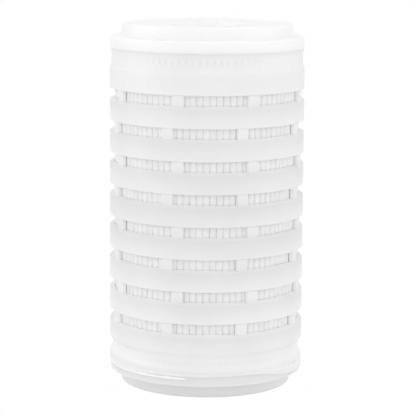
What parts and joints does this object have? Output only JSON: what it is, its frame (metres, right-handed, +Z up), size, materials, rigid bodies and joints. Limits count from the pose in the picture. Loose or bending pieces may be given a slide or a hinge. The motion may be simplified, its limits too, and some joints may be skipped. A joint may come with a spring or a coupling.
{
  "type": "pleated filter cartridge",
  "caption": "Short pleated filter cartridge, open at both ends: hooped cage with staggered windows round a folded media pack, end caps with flat gaskets.",
  "frame": {"origin": "middle of the bottom end, on the cartridge's axis, where the bottom cap's lip rests", "axes": "+Z up along the cartridge's axis; the side that the picture shows faces -Y"},
  "size_m": [0.0684, 0.0684, 0.1275],
  "materials": {
    "cage_polypropylene": "natural polypropylene, moulded, slightly translucent",
    "media_fleece": "white nonwoven polypropylene sheet, pleated",
    "core_polypropylene": "natural polypropylene, moulded",
    "cap_polypropylene": "natural polypropylene, moulded, satin",
    "silicone": "translucent white silicone, satin"
  },
  "bodies": {
    "root": {"outer_cage": "cage_polypropylene", "pleated_media": "media_fleece", "inner_core": "core_polypropylene", "top_end_cap": "cap_polypropylene", "bottom_end_cap": "cap_polypropylene", "top_gasket": "silicone", "bottom_gasket": "silicone"}
  },
  "joints": []
}
